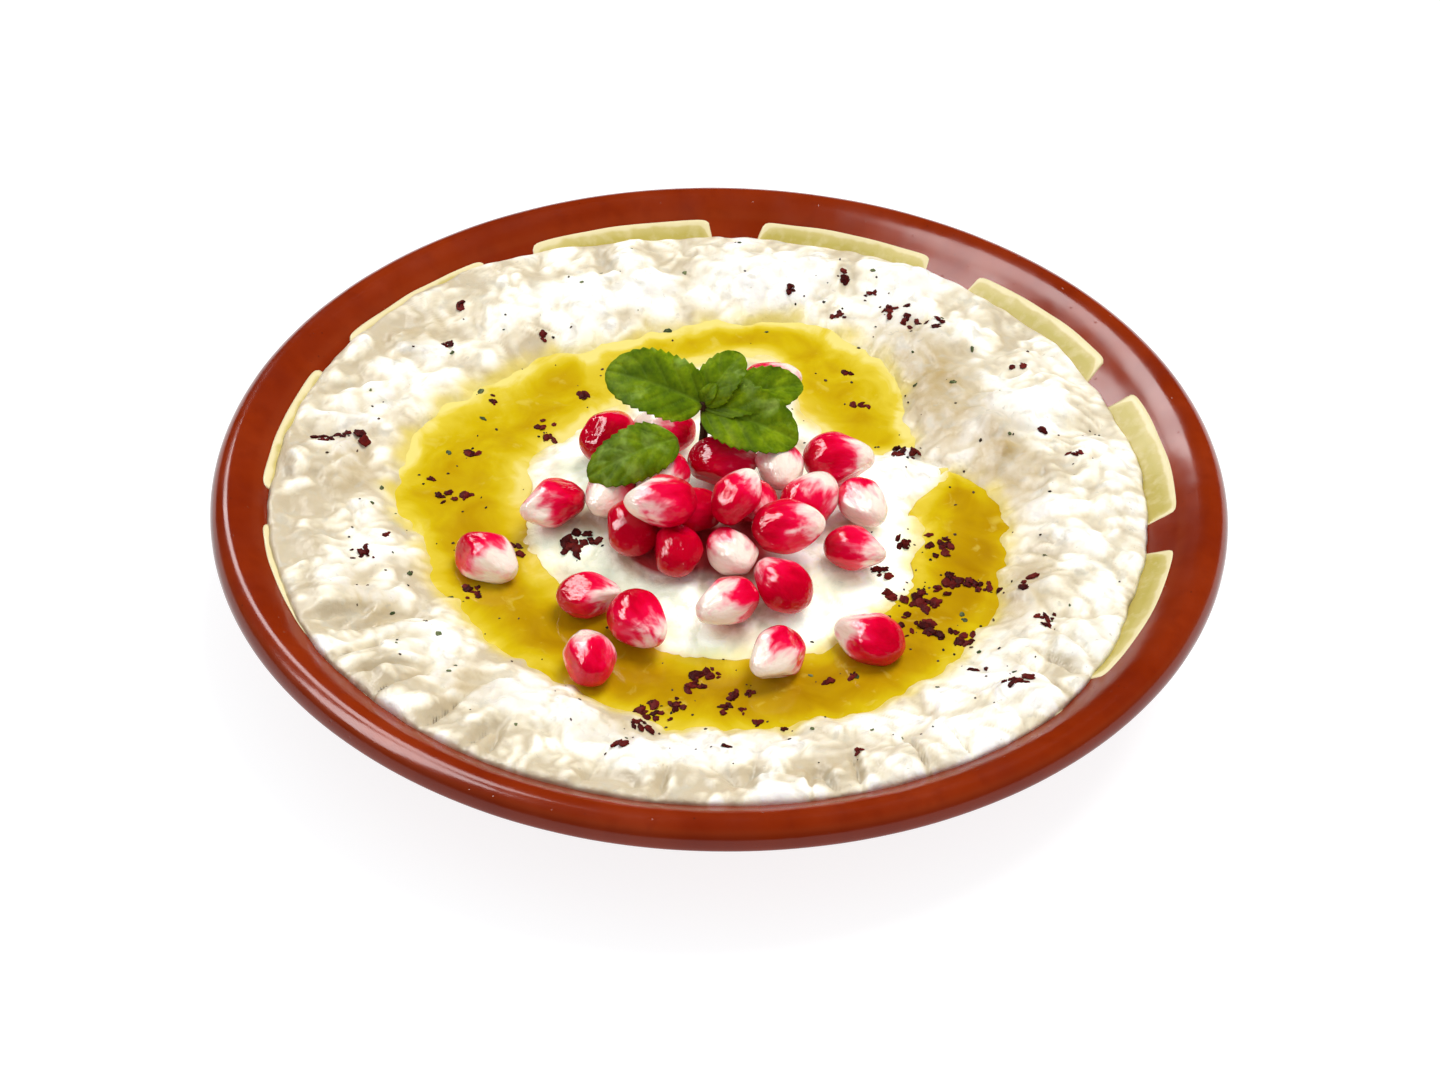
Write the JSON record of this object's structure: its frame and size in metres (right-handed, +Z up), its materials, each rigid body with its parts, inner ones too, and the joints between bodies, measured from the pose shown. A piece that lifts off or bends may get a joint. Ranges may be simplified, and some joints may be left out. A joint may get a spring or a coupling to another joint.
{
  "type": "dish of baba ganoush",
  "caption": "Shallow glazed dish of baba ganoush, with a ring of olive oil, pomegranate arils and mint on top",
  "frame": {"origin": "on the dish's axis, in the plane of its foot", "axes": "+Z up, the axis of the dish; -Y is the side that faces the diner; +X is the diner's right"},
  "size_m": [0.19, 0.19, 0.0478],
  "materials": {
    "brown_glaze": "glossy brick-brown glaze with cream brush marks on the inner wall",
    "dip": "moist, lumpy, off-white",
    "oil": "clear golden oil",
    "aril": "wet, translucent, ruby with pale tips",
    "mint": "soft, veined"
  },
  "bodies": {
    "root": {"dish": "brown_glaze", "baba_ganoush": "dip", "olive_oil": "oil", "aril_01": "aril", "aril_02": "aril", "aril_03": "aril", "aril_04": "aril", "aril_05": "aril", "aril_06": "aril", "aril_07": "aril", "aril_08": "aril", "aril_09": "aril", "aril_10": "aril", "aril_11": "aril", "aril_12": "aril", "aril_13": "aril", "aril_14": "aril", "aril_15": "aril", "aril_16": "aril", "aril_17": "aril", "aril_18": "aril", "aril_19": "aril", "aril_20": "aril", "aril_21": "aril", "aril_22": "aril", "aril_23": "aril", "aril_24": "aril", "aril_25": "aril", "aril_26": "aril", "aril_27": "aril", "aril_28": "aril", "mint_sprig": "mint", "mint_leaf": "mint"}
  },
  "joints": []
}
